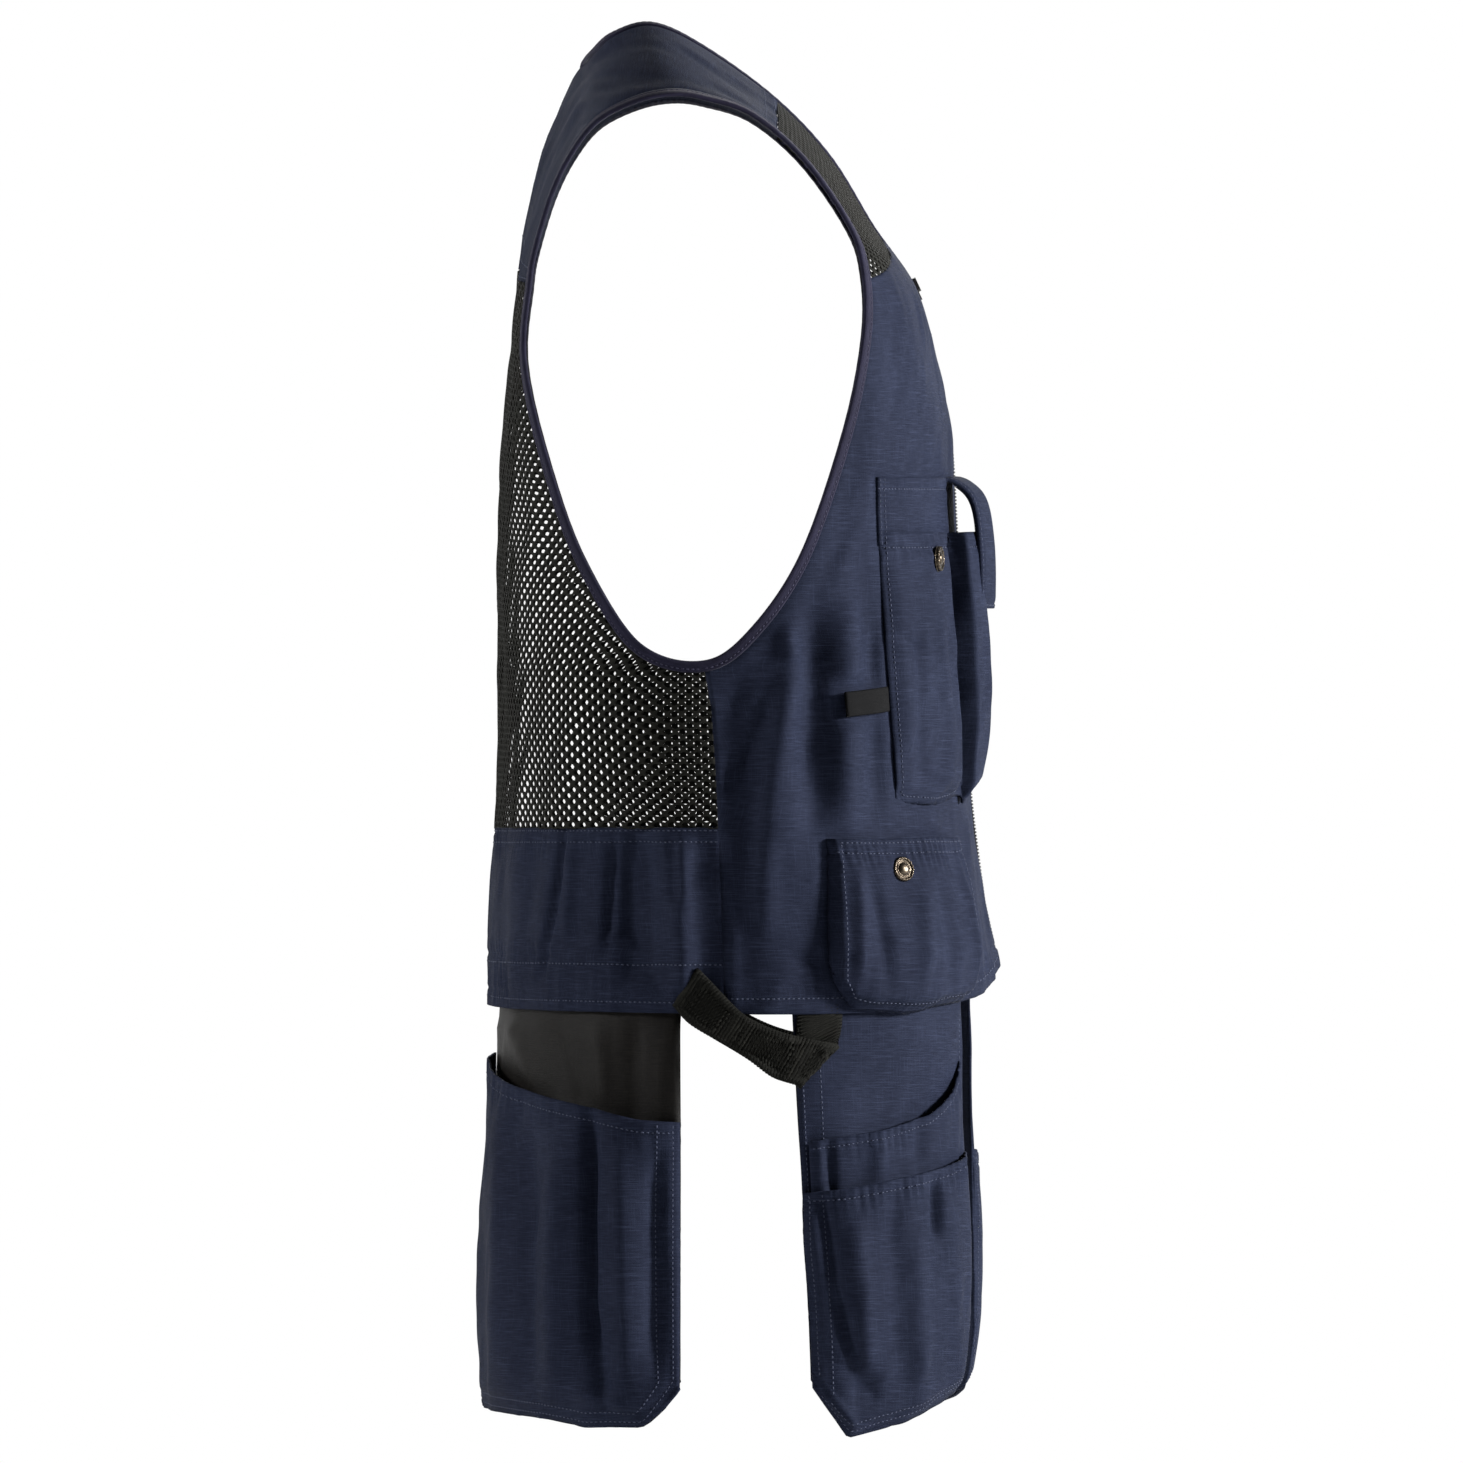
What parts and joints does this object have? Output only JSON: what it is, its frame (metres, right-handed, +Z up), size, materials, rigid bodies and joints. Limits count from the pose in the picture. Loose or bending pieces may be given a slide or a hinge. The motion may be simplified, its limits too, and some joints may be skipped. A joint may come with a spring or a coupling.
{
  "type": "utility work vest",
  "caption": "Sleeveless zip-front work vest with mesh shoulders and back, chest and waist pockets, tool holsters that hang under the hem and webbing tool loops.",
  "frame": {"origin": "where the shoulders carry the vest: on the vest's middle line, under the neck opening, level with the tops of the shoulders", "axes": "+X is the wearer's front, +Y the wearer's left, +Z up"},
  "size_m": [0.3116, 0.435, 0.847],
  "materials": {
    "navy_canvas": "matte slubbed canvas with fine horizontal ribs",
    "olive_mesh": "matte knitted net with round holes",
    "binding_tape": "matte folded binding with one row of stitches",
    "black_lining": "plain woven nylon with a slight sheen",
    "olive_webbing": "ribbed webbing",
    "aged_brass": "dark antique brass, worn bright on the rims",
    "black_trim": "satin black"
  },
  "bodies": {
    "root": {"yoke": "navy_canvas", "back_mesh": "olive_mesh", "waist_panel": "navy_canvas", "neck_binding": "binding_tape", "front_zip": "black_trim", "zip_slider": "black_trim", "side_label": "black_trim", "front_panel_right": "navy_canvas", "front_panel_left": "navy_canvas", "shoulder_mesh_right": "olive_mesh", "shoulder_mesh_left": "olive_mesh", "armhole_binding_right": "binding_tape", "armhole_binding_left": "binding_tape", "chest_patch_right": "navy_canvas", "chest_patch_left": "navy_canvas", "chest_pocket_right": "navy_canvas", "chest_pocket_left": "navy_canvas", "chest_flap_right": "navy_canvas", "chest_flap_left": "navy_canvas", "chest_snap_right": "aged_brass", "chest_snap_left": "aged_brass", "lower_pocket_right": "navy_canvas", "lower_pocket_left": "navy_canvas", "lower_snap_right": "aged_brass", "lower_snap_left": "aged_brass", "front_holster_back_right": "navy_canvas", "front_holster_back_left": "navy_canvas", "front_holster_inner_right": "navy_canvas", "front_holster_inner_left": "navy_canvas", "front_holster_outer_right": "navy_canvas", "front_holster_outer_left": "navy_canvas", "rear_holster_lining_right": "black_lining", "rear_holster_lining_left": "black_lining", "rear_holster_bag_right": "navy_canvas", "rear_holster_bag_left": "navy_canvas", "tool_loop_right": "olive_webbing", "tool_loop_left": "olive_webbing"}
  },
  "joints": []
}
